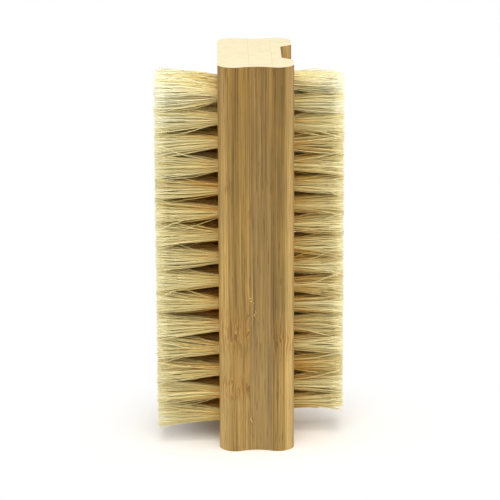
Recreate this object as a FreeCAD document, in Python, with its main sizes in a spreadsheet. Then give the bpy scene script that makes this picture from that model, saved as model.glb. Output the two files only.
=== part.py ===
import FreeCAD, Part

import math
import os

import Sketcher

# Two-sided nail brush: a block of three glued bamboo plies with bristle tufts drilled into both broad faces.
# Frame: the origin is the centre of the block's lower end, on which the brush stands. +Z runs up the grain,
# -Y is the long side with a finger hollow that faces the viewer, -X is the scrub side with the wide field of
# tufts, and +X is the nail side, whose narrow field stands in a groove.

# Driving sizes in millimetres, and counts: name, value, meaning.
SIZES = [
    ("block_length", 100.0, "block along the grain"),
    ("block_depth", 38.0, "block from its front long side to its rear long side"),
    ("scrub_ply", 7.8, "thickness of the ply under the scrub tufts"),
    ("core_ply", 5.8, "thickness of the middle ply"),
    ("nail_ply", 5.4, "thickness of the ply with the groove"),
    ("edge_round", 4.0, "radius of the block's four long edges"),
    ("grip_hollow", 1.1, "depth of the finger hollow in each long side"),
    ("groove_depth", 2.9, "depth of the groove in the nail side"),
    ("groove_floor", 14.0, "width of the groove at its floor"),
    ("groove_mouth", 19.0, "width of the groove at the face"),
    ("groove_corner", 1.2, "radius where the groove's walls meet its floor"),
    ("groove_lip", 1.0, "radius of the groove's two lips"),
    ("bore_across", 3.3, "tuft bore, across its flats"),
    ("bore_fit", 0.05, "clearance of a tuft or anchor on each side"),
    ("scrub_bore_web", 1.2, "wood left between a scrub bore and the first glue line"),
    ("nail_bore_web", 2.2, "wood left between a nail bore and the next glue line"),
    ("end_margin", 7.0, "least distance from a block end to the middle of a tuft"),
    ("scrub_pitch", 6.02, "distance between scrub tufts, both along a row and across the rows"),
    ("scrub_rows", 4, "rows of scrub tufts"),
    ("scrub_drop", 1.2, "middle of the scrub field below the middle of the block"),
    ("scrub_trim", 15.8, "bristle outside the scrub face"),
    ("scrub_splay", 10.5, "scrub bristle outside its bore before it meets the next tuft"),
    ("nail_pitch", 5.33, "distance between nail tufts, both along a row and across the rows"),
    ("nail_rows", 2, "rows of nail tufts"),
    ("nail_drop", -0.4, "middle of the nail field below the middle of the block"),
    ("nail_trim", 15.8, "bristle above the groove's floor"),
    ("nail_splay", 10.5, "nail bristle outside its bore before it meets the next tuft"),
    ("tip_gap", 0.25, "gap between neighbouring tufts at their trimmed tips"),
    ("anchor_thick", 0.4, "thickness of an anchor's flat wire"),
    ("anchor_height", 1.6, "width of an anchor's flat wire, along the bore"),
    ("fold_thick", 0.9, "bristle folded under the anchor"),
]

SIDES = 8  # flats of a tuft and of its bore, which are drawn eight-sided because there are so many
FRAME_ROOM = 5.0  # how far the moulding cut reaches past the blank
LEAST_CHANGE = 1e-3  # smallest change of volume, in cubic millimetres, that counts as one
SAME_PLACE = 1e-3  # how close, in millimetres, two places have to be to count as one

THICK = "(Sizes.scrub_ply + Sizes.core_ply + Sizes.nail_ply)"
FACE = {
    "scrub": f"(-{THICK} / 2)",
    "nail": f"({THICK} / 2 - Sizes.groove_depth)",
}
BORE_DEPTH = {
    "scrub": "(Sizes.scrub_ply - Sizes.scrub_bore_web)",
    "nail": "(Sizes.nail_ply - Sizes.groove_depth + Sizes.core_ply - Sizes.nail_bore_web)",
}
OUTWARD_TURN = {"scrub": 180.0, "nail": 0.0}  # turn about +Z that points a tuft's own +X out of the block

doc = FreeCAD.newDocument("nail_brush")
nodes = []


def make_sheet():
    """Spreadsheet of the driving sizes, one row each."""
    sheet = doc.addObject("Spreadsheet::Sheet", "Sizes")
    for row, (name, value, meaning) in enumerate(SIZES, start=1):
        sheet.set(f"A{row}", name)
        sheet.set(f"B{row}", str(value))
        sheet.setAlias(f"B{row}", name)
        sheet.set(f"C{row}", meaning)
    doc.recompute()
    return sheet


def size(name):
    """A driving size as a plain number."""
    return float(sheet.get(name))


def steps(side):
    """Expression for how many pitches a row takes up, which is as many as the block has room for."""
    return f"floor((Sizes.block_length - 2 * Sizes.end_margin) / Sizes.{side}_pitch)"


def field_length(side):
    """Expression for the distance between the first and last tuft of a row."""
    return f"({steps(side)} * Sizes.{side}_pitch)"


def lowest_place(side):
    """Expression for the height of a row's lowest tuft."""
    return f"((Sizes.block_length - {field_length(side)}) / 2 - Sizes.{side}_drop)"


def row_place(side, row):
    """Expression for a row's place across the block, the first row nearest the front."""
    return f"(({row} - (Sizes.{side}_rows - 1) / 2) * Sizes.{side}_pitch)"


def tip_across(side):
    """Expression for a tuft's width at its tip, where it all but meets its neighbours."""
    return f"(Sizes.{side}_pitch - Sizes.tip_gap)"


def new_body(label, turn=0.0, x="0", y="0", z="0"):
    """Empty body for one node, turned about +Z and placed by expressions."""
    body = doc.addObject("PartDesign::Body", label)
    body.Label = label
    body.AllowCompound = True
    body.Placement = FreeCAD.Placement(FreeCAD.Vector(), FreeCAD.Rotation(FreeCAD.Vector(0, 0, 1), turn))
    for axis, place in zip("xyz", (x, y, z)):
        body.setExpression(f"Placement.Base.{axis}", place)
    nodes.append(body)
    return body


def origin_feature(body, role):
    """One of the body's own origin planes or axes."""
    return next(item for item in body.Origin.OriginFeatures if item.Role == role)


def new_sketch(body, name, role, height="0", x="0", y="0"):
    """Sketch on an origin plane of the body, moved along the plane and out along its normal."""
    sketch = body.newObject("Sketcher::SketchObject", f"{body.Name}_{name}")
    sketch.AttachmentSupport = [(origin_feature(body, role), "")]
    sketch.MapMode = "FlatFace"
    for axis, place in zip("xyz", (x, y, height)):
        sketch.setExpression(f"AttachmentOffset.Base.{axis}", place)
    return sketch


def bind(sketch, constraint, expression):
    """Adds a dimension to the sketch and ties it to an expression."""
    index = sketch.addConstraint(constraint)
    sketch.setExpression(f"Constraints[{index}]", expression)


def draw_polygon(sketch, corners):
    """Closed run of line segments through the corners."""
    ends = zip(corners[-1:] + corners[:-1], corners)
    lines = [sketch.addGeometry(Part.LineSegment(start, end)) for start, end in ends]
    for index, line in enumerate(lines):
        sketch.addConstraint(Sketcher.Constraint("Coincident", lines[index - 1], 2, line, 1))
    return lines


def draw_rectangle(sketch, low_x, high_x, low_y, high_y):
    """Upright rectangle whose four sides are placed from the sketch's origin by expressions."""
    corners = [FreeCAD.Vector(x, y, 0) for x, y in ((-1, -1), (1, -1), (1, 1), (-1, 1))]
    left, bottom, right, top = draw_polygon(sketch, corners)
    for line in (left, right):
        sketch.addConstraint(Sketcher.Constraint("Vertical", line))
    for line in (bottom, top):
        sketch.addConstraint(Sketcher.Constraint("Horizontal", line))
    bind(sketch, Sketcher.Constraint("DistanceX", -1, 1, left, 1, -1.0), low_x)
    bind(sketch, Sketcher.Constraint("DistanceX", -1, 1, right, 1, 1.0), high_x)
    bind(sketch, Sketcher.Constraint("DistanceY", -1, 1, bottom, 1, -1.0), low_y)
    bind(sketch, Sketcher.Constraint("DistanceY", -1, 1, top, 1, 1.0), high_y)


def draw_octagon(sketch, across):
    """Regular octagon about the sketch's origin, sized across its flats, with two flats upright."""
    radius = 1.0
    turns = [math.pi / SIDES * (2 * k + 1) for k in range(SIDES)]
    corners = [FreeCAD.Vector(radius * math.cos(a), radius * math.sin(a), 0) for a in turns]
    lines = draw_polygon(sketch, corners)
    circle = sketch.addGeometry(Part.Circle(FreeCAD.Vector(), FreeCAD.Vector(0, 0, 1), radius), True)
    for line in lines:
        sketch.addConstraint(Sketcher.Constraint("PointOnObject", line, 1, circle))
    for line in lines[1:]:
        sketch.addConstraint(Sketcher.Constraint("Equal", lines[0], line))
    sketch.addConstraint(Sketcher.Constraint("Vertical", lines[0]))
    sketch.addConstraint(Sketcher.Constraint("Coincident", circle, 3, -1, 1))
    bind(sketch, Sketcher.Constraint("Radius", circle, radius), f"{across} / 2 / cos({180 / SIDES})")


def draw_outline(sketch):
    """Block's cross-section: two flat faces, four rounded edges and a hollow in each long side.

    The hollow is an arc that meets the two edge rounds beside it smoothly, so its radius follows from its
    depth and from how far the middle of an edge round lies from the block's middle plane.
    """
    half_thick = (size("scrub_ply") + size("core_ply") + size("nail_ply")) / 2
    half_depth = size("block_depth") / 2
    edge = size("edge_round")
    hollow = size("grip_hollow")
    inset = half_thick - edge
    rise = half_depth - edge
    between = (hollow**2 + inset**2) / (2 * hollow)
    hollow_centre = half_depth - hollow + between - edge
    lean = math.atan2(between - hollow, inset)

    def arc(x, y, radius, start, end):
        circle = Part.Circle(FreeCAD.Vector(x, y, 0), FreeCAD.Vector(0, 0, 1), radius)
        return sketch.addGeometry(Part.ArcOfCircle(circle, start, end))

    def line(x, start, end):
        return sketch.addGeometry(Part.LineSegment(FreeCAD.Vector(x, start, 0), FreeCAD.Vector(x, end, 0)))

    front_left = arc(-inset, -rise, edge, math.pi, 2 * math.pi - lean)
    front_hollow = arc(0, -hollow_centre, between - edge, lean, math.pi - lean)
    front_right = arc(inset, -rise, edge, math.pi + lean, 2 * math.pi)
    right_face = line(half_thick, -rise, rise)
    rear_right = arc(inset, rise, edge, 0, math.pi - lean)
    rear_hollow = arc(0, hollow_centre, between - edge, math.pi + lean, 2 * math.pi - lean)
    rear_left = arc(-inset, rise, edge, lean, math.pi)
    left_face = line(-half_thick, rise, -rise)

    start, end, centre = 1, 2, 3
    joints = [
        (front_left, end, front_hollow, end),
        (front_hollow, start, front_right, start),
        (front_right, end, right_face, start),
        (right_face, end, rear_right, start),
        (rear_right, end, rear_hollow, end),
        (rear_hollow, start, rear_left, start),
        (rear_left, end, left_face, start),
        (left_face, end, front_left, start),
    ]
    for joint in joints:
        sketch.addConstraint(Sketcher.Constraint("Tangent", *joint))
    for other in (front_right, rear_right, rear_left):
        sketch.addConstraint(Sketcher.Constraint("Equal", front_left, other))
    sketch.addConstraint(Sketcher.Constraint("Equal", front_hollow, rear_hollow))
    sketch.addConstraint(Sketcher.Constraint("Symmetric", front_left, centre, rear_right, centre, -1, 1))
    sketch.addConstraint(Sketcher.Constraint("Symmetric", front_right, centre, rear_left, centre, -1, 1))
    sketch.addConstraint(Sketcher.Constraint("Horizontal", front_left, centre, front_right, centre))
    sketch.addConstraint(Sketcher.Constraint("Vertical", right_face))
    inset_rule = f"({THICK} / 2 - Sizes.edge_round)"
    between_rule = f"((Sizes.grip_hollow ^ 2 + {inset_rule} ^ 2) / (2 * Sizes.grip_hollow))"
    bind(sketch, Sketcher.Constraint("Radius", front_left, edge), "Sizes.edge_round")
    bind(sketch, Sketcher.Constraint("DistanceX", front_left, centre, -1, 1, inset), inset_rule)
    bind(
        sketch,
        Sketcher.Constraint("DistanceY", front_left, centre, -1, 1, rise),
        "Sizes.block_depth / 2 - Sizes.edge_round",
    )
    bind(
        sketch,
        Sketcher.Constraint("Radius", front_hollow, between - edge),
        f"{between_rule} - Sizes.edge_round",
    )


def pad(body, name, sketch, length, reverse=False, both_ways=False):
    """Material along the sketch's normal, against it, or half each way."""
    feature = body.newObject("PartDesign::Pad", f"{body.Name}_{name}")
    feature.Profile = sketch
    feature.Reversed = reverse
    feature.setExpression("Length", length)
    if both_ways:
        feature.SideType = "Symmetric"
    doc.recompute()
    return feature


def cut(body, name, sketch, length, reverse=False, both_ways=False):
    """Pocket against the sketch's normal, along it, or half each way, that has to take something off."""
    before = body.Shape.Volume
    feature = body.newObject("PartDesign::Pocket", f"{body.Name}_{name}")
    feature.Profile = sketch
    feature.Reversed = reverse
    feature.setExpression("Length", length)
    if both_ways:
        feature.SideType = "Symmetric"
    doc.recompute()
    if before - body.Shape.Volume < LEAST_CHANGE:
        raise RuntimeError(f"{feature.Name} cuts nothing")
    return feature


def repeat_up(body, name, side, original=None):
    """Row of copies up the block: of the whole body, or of one feature on every row of the side's field."""
    feature = body.newObject("PartDesign::LinearPattern", f"{body.Name}_{name}")
    feature.Direction = (origin_feature(body, "Z_Axis"), [""])
    feature.setExpression("Length", field_length(side))
    feature.setExpression("Occurrences", f"{steps(side)} + 1")
    if original is None:
        feature.TransformMode = "Whole shape"
    else:
        feature.Originals = [original]
        feature.Direction2 = (origin_feature(body, "Y_Axis"), [""])
        feature.setExpression("Length2", f"(Sizes.{side}_rows - 1) * Sizes.{side}_pitch")
        feature.setExpression("Occurrences2", f"Sizes.{side}_rows")
    body.Tip = feature
    doc.recompute()
    return feature


def drill(body, side, mouth, depth, inward):
    """Field of blind bores from a plane of the ply. inward is True where they run towards the ply's +X."""
    before = body.Shape.Volume
    sketch = new_sketch(
        body, f"{side}_bore_sketch", "YZ_Plane", mouth, x=row_place(side, 0), y=lowest_place(side)
    )
    draw_octagon(sketch, "Sizes.bore_across")
    bore = cut(body, f"{side}_bore", sketch, depth, reverse=inward)
    each = before - body.Shape.Volume
    bores = repeat_up(body, f"{side}_bores", side, bore)
    count = bores.Occurrences * bores.Occurrences2
    if abs(before - body.Shape.Volume - count * each) > LEAST_CHANGE * count:
        raise RuntimeError(f"{body.Label} has bores that miss the wood or each other")


def make_ply(label, place, thick):
    """Ply with the block's moulded outline. Its own x = 0 is the face nearer the scrub side."""
    body = new_body(label, x=place)
    blank = new_sketch(body, "blank_sketch", "XY_Plane")
    draw_rectangle(blank, "0", thick, "-Sizes.block_depth / 2", "Sizes.block_depth / 2")
    pad(body, "blank", blank, "Sizes.block_length")
    outline = new_sketch(body, "outline_sketch", "XY_Plane", x=f"-({place})")
    draw_outline(outline)
    reach_x = f"({THICK} / 2 + {FRAME_ROOM})"
    reach_y = f"(Sizes.block_depth / 2 + {FRAME_ROOM})"
    draw_rectangle(outline, f"-{reach_x}", reach_x, f"-{reach_y}", reach_y)
    cut(body, "moulding", outline, "Sizes.block_length", reverse=True)
    return body


def upright_edges(shape, x, half_width):
    """Names of the edges that run up the grain at one x, at plus and minus half_width across the block."""
    found = []
    for index, edge in enumerate(shape.Edges, start=1):
        box = edge.BoundBox
        upright = box.ZLength > size("block_length") / 2
        level = abs(box.XMin - x) < SAME_PLACE and abs(box.XMax - x) < SAME_PLACE
        across = abs(abs(box.Center.y) - half_width) < SAME_PLACE
        if upright and level and across:
            found.append(f"Edge{index}")
    if len(found) != 2:
        raise RuntimeError("the groove should have one such edge on each side")
    return found


def round_edges(body, name, edges, radius):
    """Rolled edges of the body's last feature."""
    feature = body.newObject("PartDesign::Fillet", f"{body.Name}_{name}")
    feature.Base = (feature.BaseFeature, edges)
    feature.setExpression("Radius", radius)
    body.Tip = feature
    doc.recompute()


def cut_groove(body):
    """Groove up the nail side with sloping walls, a round at each side of its floor and at each lip."""
    sketch = new_sketch(body, "groove_sketch", "XY_Plane")
    thick, depth = size("nail_ply"), size("groove_depth")
    floor, mouth = size("groove_floor") / 2, size("groove_mouth") / 2
    section = [(thick, -mouth), (thick, mouth), (thick - depth, floor), (thick - depth, -floor)]
    _, face, _, ground = draw_polygon(sketch, [FreeCAD.Vector(x, y, 0) for x, y in section])
    for line in (face, ground):
        sketch.addConstraint(Sketcher.Constraint("Symmetric", line, 1, line, 2, -1))
    bind(sketch, Sketcher.Constraint("DistanceX", -1, 1, face, 1, thick), "Sizes.nail_ply")
    bind(sketch, Sketcher.Constraint("DistanceX", ground, 1, face, 1, depth), "Sizes.groove_depth")
    bind(sketch, Sketcher.Constraint("DistanceY", face, 1, face, 2, 2 * mouth), "Sizes.groove_mouth")
    bind(sketch, Sketcher.Constraint("DistanceY", ground, 2, ground, 1, 2 * floor), "Sizes.groove_floor")
    groove = cut(body, "groove", sketch, "Sizes.block_length", reverse=True)
    corners = upright_edges(groove.Shape, thick - depth, floor)
    round_edges(body, "groove_corners", corners, "Sizes.groove_corner")
    lips = upright_edges(body.Tip.Shape, thick, mouth)
    round_edges(body, "groove_lips", lips, "Sizes.groove_lip")


def make_block():
    """Three plies, face to face on their glue lines, with the bores that hold the tufts."""
    scrub = make_ply("scrub_side_ply", f"(-{THICK} / 2)", "Sizes.scrub_ply")
    drill(scrub, "scrub", "0", BORE_DEPTH["scrub"], inward=True)
    core = make_ply("core_ply", f"(-{THICK} / 2 + Sizes.scrub_ply)", "Sizes.core_ply")
    drill(core, "nail", "Sizes.core_ply", "Sizes.core_ply - Sizes.nail_bore_web", inward=False)
    nail = make_ply("nail_side_ply", f"({THICK} / 2 - Sizes.nail_ply)", "Sizes.nail_ply")
    cut_groove(nail)
    floor = "(Sizes.nail_ply - Sizes.groove_depth)"
    drill(nail, "nail", floor, floor, inward=False)


def row_body(label, side, row):
    """Body whose own origin is the mouth of the row's lowest bore, with +X pointing out of the block."""
    return new_body(label, OUTWARD_TURN[side], FACE[side], row_place(side, row), lowest_place(side))


def draw_wire(sketch, side, clearance):
    """Cross-section of an anchor's flat wire where it crosses the bore, with an all-round clearance."""
    low = f"(-{BORE_DEPTH[side]} + Sizes.bore_fit + Sizes.fold_thick - {clearance})"
    high = f"({low} + Sizes.anchor_height + 2 * {clearance})"
    half = f"(Sizes.anchor_thick / 2 + {clearance})"
    draw_rectangle(sketch, low, high, f"-{half}", half)


def flare(body, name, angle):
    """Leans the sides of the body's only pad outwards from its end at x = 0."""
    base = body.Tip
    sides = []
    for index, face in enumerate(base.Shape.Faces, start=1):
        box = face.BoundBox
        if box.XLength > SAME_PLACE:
            sides.append(f"Face{index}")
        elif abs(box.XMin) < SAME_PLACE:
            narrow_end = f"Face{index}"
    feature = body.newObject("PartDesign::Draft", f"{body.Name}_{name}")
    feature.Base = (base, sides)
    feature.NeutralPlane = (base, [narrow_end])
    feature.Reversed = True
    body.Tip = feature
    doc.recompute()
    feature.setExpression("Angle", angle)
    doc.recompute()
    if feature.Shape.Volume - base.Shape.Volume < LEAST_CHANGE:
        raise RuntimeError(f"{feature.Name} widens nothing")


def make_tufts(side, row):
    """Row of tufts: a bundle folded under its anchor fills the bore, splays until it meets its neighbours
    and then runs straight to the trimmed tip."""
    body = row_body(f"{side}_tufts_{row + 1}", side, row)
    root_across = "(Sizes.bore_across - 2 * Sizes.bore_fit)"
    mouth = new_sketch(body, "mouth", "YZ_Plane")
    draw_octagon(mouth, root_across)
    pad(body, "neck", mouth, f"Sizes.{side}_splay")
    flare(body, "splay", f"atan(({tip_across(side)} - {root_across}) / (2 * Sizes.{side}_splay))")
    tip = new_sketch(body, "tip", "YZ_Plane", f"Sizes.{side}_splay")
    draw_octagon(tip, tip_across(side))
    pad(body, "brush", tip, f"Sizes.{side}_trim - Sizes.{side}_splay")
    pad(body, "root", mouth, f"{BORE_DEPTH[side]} - Sizes.bore_fit", reverse=True)
    slot = new_sketch(body, "anchor_slot_sketch", "XZ_Plane")
    draw_wire(slot, side, "Sizes.bore_fit")
    cut(body, "anchor_slot", slot, "2 * Sizes.bore_across", both_ways=True)
    repeat_up(body, "row", side)


def make_anchors(side, row):
    """Row of anchors: flat wire set across each bore, over the fold of its tuft."""
    body = row_body(f"{side}_anchors_{row + 1}", side, row)
    wire = new_sketch(body, "wire", "XZ_Plane")
    draw_wire(wire, side, "0")
    pad(body, "anchor", wire, "Sizes.bore_across - 2 * Sizes.bore_fit", both_ways=True)
    repeat_up(body, "row", side)


def check_and_write():
    """Stops on any failed feature or bad solid, then writes one file for each node."""
    for item in doc.Objects:
        if "Invalid" in item.State or "Error" in item.State:
            raise RuntimeError(f"{item.Name} failed: {item.State}")
    for body in nodes:
        if body.Shape.isNull() or not body.Shape.isValid():
            raise RuntimeError(f"{body.Label} has no valid shape")
        pieces = 1 if body.Label.endswith("ply") else body.Tip.Occurrences
        if len(body.Shape.Solids) != pieces:
            raise RuntimeError(f"{body.Label} has {len(body.Shape.Solids)} solids, not {pieces}")
    os.makedirs("parts", exist_ok=True)
    for body in nodes:
        body.Shape.exportStep(f"parts/{body.Label}.step")


sheet = make_sheet()
make_block()
for field in ("scrub", "nail"):
    for number in range(int(size(f"{field}_rows"))):
        make_tufts(field, number)
        make_anchors(field, number)
doc.recompute()
check_and_write()
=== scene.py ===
import math

import bpy
import numpy as np
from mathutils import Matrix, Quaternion, Vector


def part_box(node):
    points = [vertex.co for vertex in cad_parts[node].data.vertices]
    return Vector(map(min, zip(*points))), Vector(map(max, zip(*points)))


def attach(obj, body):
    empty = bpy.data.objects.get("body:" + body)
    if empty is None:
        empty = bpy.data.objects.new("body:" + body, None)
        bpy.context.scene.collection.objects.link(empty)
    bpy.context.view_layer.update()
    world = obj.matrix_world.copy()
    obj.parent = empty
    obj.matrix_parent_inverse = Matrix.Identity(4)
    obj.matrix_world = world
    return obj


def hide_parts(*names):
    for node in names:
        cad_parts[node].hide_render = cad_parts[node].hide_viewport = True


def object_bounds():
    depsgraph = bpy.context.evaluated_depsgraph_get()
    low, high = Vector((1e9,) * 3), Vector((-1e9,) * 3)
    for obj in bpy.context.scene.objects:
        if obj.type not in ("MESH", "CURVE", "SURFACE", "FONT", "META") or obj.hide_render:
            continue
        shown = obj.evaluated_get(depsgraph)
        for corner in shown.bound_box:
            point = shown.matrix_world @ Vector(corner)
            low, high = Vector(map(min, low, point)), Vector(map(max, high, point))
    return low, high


bl_info = {
    "name": "Two-sided nail brush",
    "version": (1, 0, 0),
    "blender": (4, 5, 0),
    "location": "3D View > Sidebar > Nail brush",
    "description": "Bamboo, bristle and studio looks for a packed two-sided nail brush",
    "category": "Object",
}

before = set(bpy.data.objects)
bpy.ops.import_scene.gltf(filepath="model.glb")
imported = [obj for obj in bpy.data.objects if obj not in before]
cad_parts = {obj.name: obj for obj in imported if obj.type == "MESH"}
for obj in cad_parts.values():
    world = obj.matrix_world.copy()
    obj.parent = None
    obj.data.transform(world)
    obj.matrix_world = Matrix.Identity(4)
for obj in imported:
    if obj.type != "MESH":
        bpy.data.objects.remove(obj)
CAD_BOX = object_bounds()
BODY = "root"
SIDEBAR = "Nail brush"

MM = 0.001
SCRUB_ROWS = ("scrub_tufts_1", "scrub_tufts_2", "scrub_tufts_3", "scrub_tufts_4")
NAIL_ROWS = ("nail_tufts_1", "nail_tufts_2")
ANCHOR_ROWS = tuple(row.replace("tufts", "anchors") for row in SCRUB_ROWS + NAIL_ROWS)

# (height, half height) of the knuckles of a ply, as shares of the block's length
SCRUB_KNUCKLES = ((0.325, 0.095), (0.17, 0.05))
NAIL_KNUCKLES = ((0.295, 0.07),)
# places across the block of the two dark veins in the scrub side's ply
SCRUB_VEINS = (-5.05 * MM, -4.6 * MM)
# what the painted highlight on a ply's rounded long edges is multiplied by; the nail side's is stronger, for
# the stronger side light there
PLAIN_RIM = 1.0
NAIL_RIM = 1.3
# shifts of the grain, in cells of each pattern, so that no two plies have the same one
SCRUB_SHIFT = 3.0
CORE_SHIFT = 11.0
NAIL_SHIFT = 23.0
FIBRE_SHIFT = 31.0

# (across, height) of the rough places on the front, and how far before it the search for the face starts
FIBRE_PLACES = ((-1.4 * MM, 39.8 * MM), (-0.4 * MM, 36.5 * MM), (-1.4 * MM, 8.1 * MM))
FIBRE_START = 5.0 * MM
FIBRE_RINGS = 9
FIBRE_SEED = 7
# lengths, typical sideways swing and lifts of the loose fibres, as shares of the mean length
FIBRE_LENGTHS = (0.5, 1.3)
FIBRE_SWING = 0.35
FIBRE_LIFTS = (0.1, 0.3)

# the sunflower angle, which spreads the roots of a bundle evenly over its bore
GOLDEN_ANGLE = math.pi * (3.0 - math.sqrt(5.0))
TUBE_SIDES = 4
# how far along the free bristle each ring lies, after the ring at the bottom of the bore
FREE_RINGS = np.linspace(0.0, 1.0, 6)
# the map that lays out the bristles, and the number of their tints
BRISTLE_MAP = "OFBake"
TINTS = 32
SCRUB_SEED = 100
NAIL_SEED = 200
# least height of a stray tip over the floor
FLOOR_CLEARANCE = 1.0 * MM

# share of the square flare in the place of a tip, the rest being the round one
SQUARE_SHARE = 0.65
# how far a tip is drawn to the middle of its bunch, as a share of the way
BUNCH_PULL = 0.12
# typical moves of a tip: with its bunch, by itself, and as a stray across the row and along it
BUNCH_MOVE = 0.32 * MM
OWN_MOVE = 0.14 * MM
STRAY_MOVE = np.array([1.2 * MM, 2.0 * MM])
# share of a bundle's lean that it has across the row and along it
LEAN_SHARES = np.array([0.6, 1.0])
# share that is taken off the reach of the end bundles past their hold
END_SQUEEZE = 0.75
# a count that runs evenly up a row from this to 1; the bundles where it is over 0 are the topmost ones
TOPMOST_START = -5.0
# how much earlier than a straight cone the last of them opens
EARLY_OPENING = 0.6
# size, number and fading of a bristle's waves, how much more a stray waves, and the size of a bristle's bow
WAVE_SIZE = 0.15 * MM
WAVES = 0.9
WAVE_FADE = 1.6
STRAY_WAVE = 2.5
BOW_SIZE = 0.3 * MM
# how much the trim takes off the free length: mean, typical difference, and the most more that a stray loses
TRIM_MEAN = 0.06 * MM
TRIM_DIFFERENCE = 0.18 * MM
STRAY_TRIM = 1.2 * MM
# range of a bristle's thickness about the mean, and how much thinner its tip is
THICKNESS_RANGE = (0.65, 1.4)
TAPER = 0.12
# tint of a bristle, 0 for ochre and 1 for bleached: mean and typical differences by bunch, bristle and bundle
MEAN_TINT = 0.5
BUNCH_TINT = 0.13
OWN_TINT = 0.15
BUNDLE_TINT = 0.06
# painted light: how much paler the topmost bundle is, as the overhead lamp lights it; painted shade: how much
# duller the sides of a bundle, along the gaps, are than its middle
TOPMOST_LIGHT = 0.6
GAP_SIDE_SHADE = 0.45

# a lamp's name, the property with its power, its place and its size
LAMPS = (
    ("front_softbox", "front_power", (0.0, -520.0 * MM, 480.0 * MM), 500.0 * MM),
    ("overhead_softbox", "overhead_power", (0.0, -60.0 * MM, 720.0 * MM), 420.0 * MM),
    ("nail_side_lamp", "nail_side_power", (460.0 * MM, -60.0 * MM, 130.0 * MM), 260.0 * MM),
    ("scrub_side_lamp", "scrub_side_power", (-460.0 * MM, -60.0 * MM, 130.0 * MM), 260.0 * MM),
)
LAMP_AIM = (0.0, 0.0, 50.0 * MM)
# half the width of the floor, in metres
FLOOR_REACH = 4.0
# how far from the brush's middle the floor starts and ends turning to white
FLOOR_FADE = (6.0 * MM, 50.0 * MM)
# width of the camera's sensor, in millimetres
SENSOR_WIDTH = 36.0


class NailBrushBlock(bpy.types.PropertyGroup):
    """Colours and grain of the three bamboo plies"""

    scrub_tone: bpy.props.FloatVectorProperty(
        name="Scrub side tone", description="Mean colour of the ply under the wide field",
        subtype="COLOR", size=3, min=0.0, max=1.0, default=(0.43, 0.267, 0.069))
    core_tone: bpy.props.FloatVectorProperty(
        name="Core tone", description="Mean colour of the middle ply, greyer than its neighbours",
        subtype="COLOR", size=3, min=0.0, max=1.0, default=(0.385, 0.248, 0.077))
    nail_tone: bpy.props.FloatVectorProperty(
        name="Nail side tone", description="Mean colour of the grooved ply",
        subtype="COLOR", size=3, min=0.0, max=1.0, default=(0.36, 0.224, 0.056))
    # partly painted light: the ends are paler than the bamboo alone, for the overhead lamp's light on the
    # upper end
    end_tone: bpy.props.FloatVectorProperty(
        name="End grain tone", description="Colour of the saw-cut ends",
        subtype="COLOR", size=3, min=0.0, max=1.0, default=(0.76, 0.67, 0.44))
    seam_width: bpy.props.FloatProperty(
        name="Seam width", description="Width of the dark line that a glue seam leaves on each ply",
        unit="LENGTH", min=0.0, default=0.16 * MM, precision=5)
    fibre_contrast: bpy.props.FloatProperty(
        name="Fibre contrast", description="How far the streaks of the grain leave the mean colour",
        subtype="FACTOR", min=0.0, max=1.0, default=0.55)
    fibres_at_a_place: bpy.props.IntProperty(
        name="Loose fibres", description="Fine fibres that lift off the front at each rough place",
        min=1, default=2)
    fibre_length: bpy.props.FloatProperty(
        name="Loose fibre length", description="Mean length of a loose fibre",
        unit="LENGTH", min=0.1 * MM, default=1.6 * MM, precision=5)
    fibre_thickness: bpy.props.FloatProperty(
        name="Loose fibre thickness", description="Diameter of a loose fibre",
        unit="LENGTH", min=0.01 * MM, default=0.12 * MM, precision=5)
    fibre_paleness: bpy.props.FloatProperty(
        name="Loose fibre paleness", description="How much lighter a loose fibre is than the core",
        min=0.5, max=3.0, default=2.4)


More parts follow.
